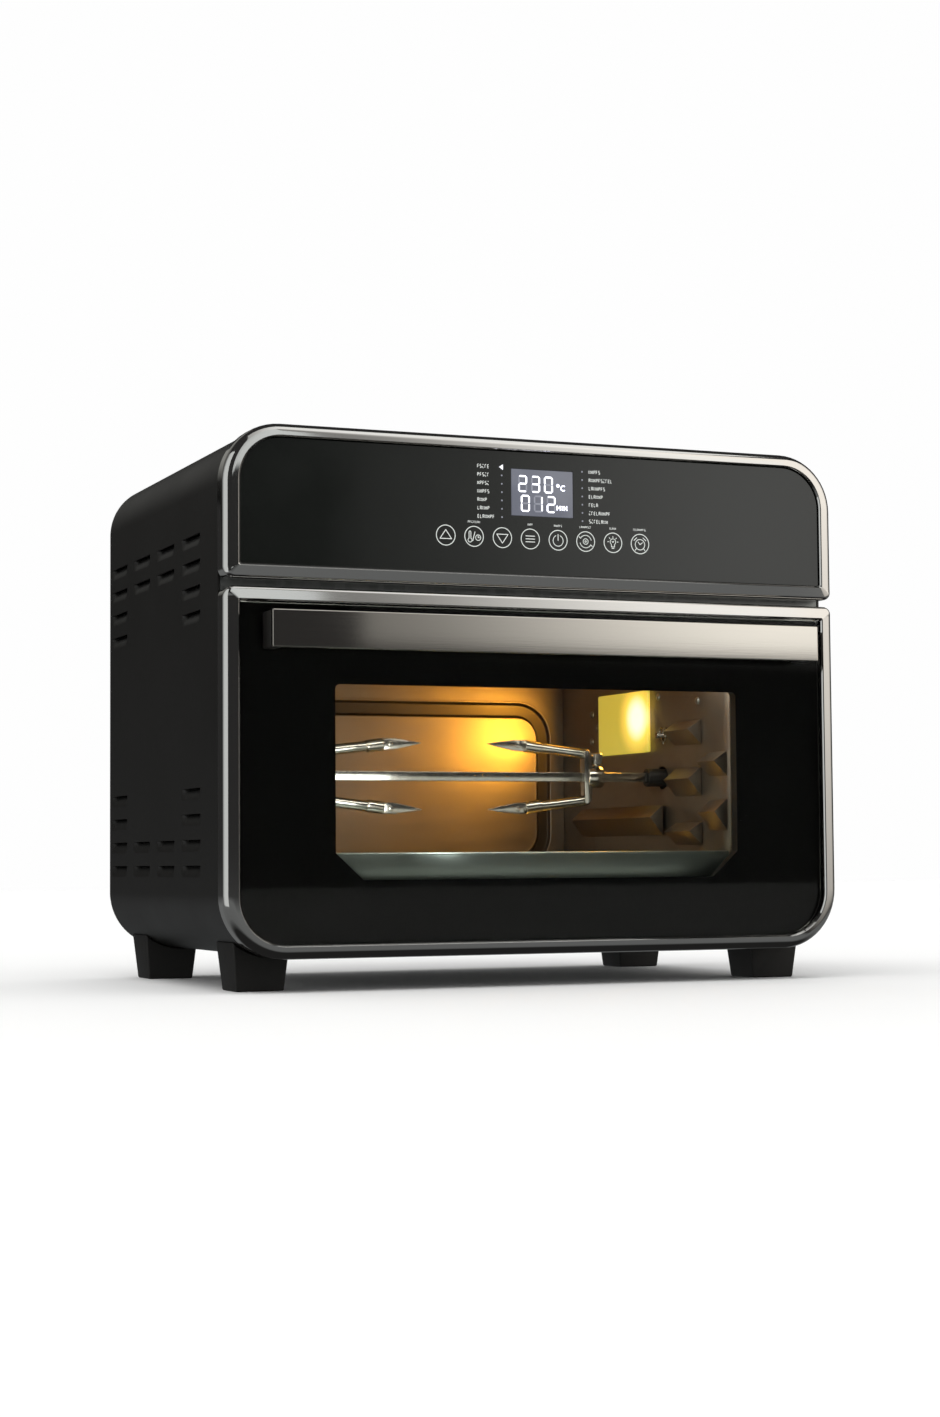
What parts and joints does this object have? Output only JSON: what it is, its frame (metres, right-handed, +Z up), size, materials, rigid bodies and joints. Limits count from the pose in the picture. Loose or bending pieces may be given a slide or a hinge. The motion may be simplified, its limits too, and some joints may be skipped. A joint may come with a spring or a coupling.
{
  "type": "toaster oven",
  "caption": "Countertop air-fryer toaster oven: black louvred housing, polished front frames, glass touch panel, drop-down glass door, rotisserie, lamp and fan.",
  "frame": {"origin": "on the table, under the middle of the bounding box", "axes": "+Z up, door and control panel face -Y, +X to the right as you face them"},
  "size_m": [0.41, 0.2892, 0.3365],
  "materials": {
    "black_steel": "satin black powder coat",
    "polished_frame": "polished, mirror-like",
    "handle_steel": "fine brushed",
    "tray_steel": "brushed",
    "plain_steel": "bare galvanised sheet",
    "control_glass": "black back-printed tempered glass",
    "door_glass": "clear tempered glass with a black printed border",
    "display": "grey backlit display window",
    "black_plastic": "moulded, fine texture",
    "circuit_board": "solder mask",
    "enamel": "semi-gloss coated steel",
    "heater": "heat-darkened steel tube",
    "ceramic": "glazed ceramic",
    "lamp_glass": "frosted, lit",
    "motor_can": "plain",
    "spit_steel": "polished stainless"
  },
  "bodies": {
    "chassis": {"base_plate": "plain_steel", "cavity_rear": "enamel", "cavity_side_left": "enamel", "cavity_side_right": "enamel", "cavity_wrap": "enamel", "chassis_front": "plain_steel", "control_bezel": "polished_frame", "control_carrier": "black_plastic", "control_glass": "control_glass", "cord_gland": "black_plastic", "crumb_tray": "tray_steel", "display_window": "display", "door_switch": "black_plastic", "fan_guard": "plain_steel", "fan_housing": "motor_can", "fan_motor": "motor_can", "foot_front_left": "black_plastic", "foot_front_right": "black_plastic", "foot_rear_left": "black_plastic", "foot_rear_right": "black_plastic", "heater_bottom_front": "heater", "heater_bottom_rear": "heater", "heater_top": "heater", "hinge_bracket_left": "plain_steel", "hinge_bracket_right": "plain_steel", "hinge_pin_left": "plain_steel", "hinge_pin_right": "plain_steel", "housing_wrap": "black_steel", "lamp_bulb": "lamp_glass", "lamp_cover": "lamp_glass", "lamp_housing": "motor_can", "lamp_socket": "ceramic", "power_board": "circuit_board", "rear_cover": "black_steel", "rotisserie_motor": "motor_can", "spit_rest": "plain_steel", "temperature_probe": "plain_steel", "thermal_cutout": "ceramic", "touch_board": "circuit_board"},
    "door": {"door_frame": "polished_frame", "door_glass": "door_glass", "door_inner_panel": "black_steel", "handle_bar": "handle_steel", "handle_post_left": "black_plastic", "handle_post_right": "black_plastic", "hinge_leaf_left": "plain_steel", "hinge_leaf_right": "plain_steel", "door_arm_left": "plain_steel", "door_arm_right": "plain_steel"},
    "spit": {"spit_rod": "spit_steel", "drive_socket": "black_plastic"},
    "fork_left": {"fork_left": "spit_steel"},
    "fork_right": {"fork_right": "spit_steel"},
    "fork_screw_left": {"fork_screw_left": "spit_steel"},
    "fork_screw_right": {"fork_screw_right": "spit_steel"},
    "fans": {"hot_air_fan": "plain_steel", "cooling_fan": "black_plastic", "fan_shaft": "plain_steel"},
    "switch_plunger": {"switch_plunger": "ceramic"}
  },
  "joints": [
    {"name": "door_hinge", "type": "hinge", "parent": "chassis", "child": "door", "pos_m": [0, -0.10735, 0.0225], "axis": [1, 0, 0], "range_deg": [0, 82], "stiffness_Nm_per_rad": 0.6, "springref_deg": -40.11},
    {"name": "spit_spin", "type": "hinge", "parent": "chassis", "child": "spit", "pos_m": [0, -0.01535, 0.1315], "axis": [1, 0, 0], "continuous": true},
    {"name": "fork_left_slide", "type": "slide", "parent": "spit", "child": "fork_left", "axis": [1, 0, 0], "range_m": [0, 0.03]},
    {"name": "fork_right_slide", "type": "slide", "parent": "spit", "child": "fork_right", "axis": [1, 0, 0], "range_m": [-0.03, 0.018]},
    {"name": "fork_screw_left_turn", "type": "hinge", "parent": "fork_left", "child": "fork_screw_left", "pos_m": [-0.1183, -0.01535, 0.1315], "axis": [0, 0, 1], "continuous": true},
    {"name": "fork_screw_right_turn", "type": "hinge", "parent": "fork_right", "child": "fork_screw_right", "pos_m": [0.0858, -0.01535, 0.1315], "axis": [0, 0, 1], "continuous": true},
    {"name": "fan_spin", "type": "hinge", "parent": "chassis", "child": "fans", "pos_m": [0, 0.01255, 0.23], "axis": [0, 0, 1], "continuous": true},
    {"name": "switch_plunger_slide", "type": "slide", "parent": "chassis", "child": "switch_plunger", "axis": [0, -1, 0], "range_m": [0, 0.0025]}
  ],
  "couplings": [
    {"joint": "switch_plunger_slide", "follows": "door_hinge", "m_per_rad": 0.0014}
  ]
}
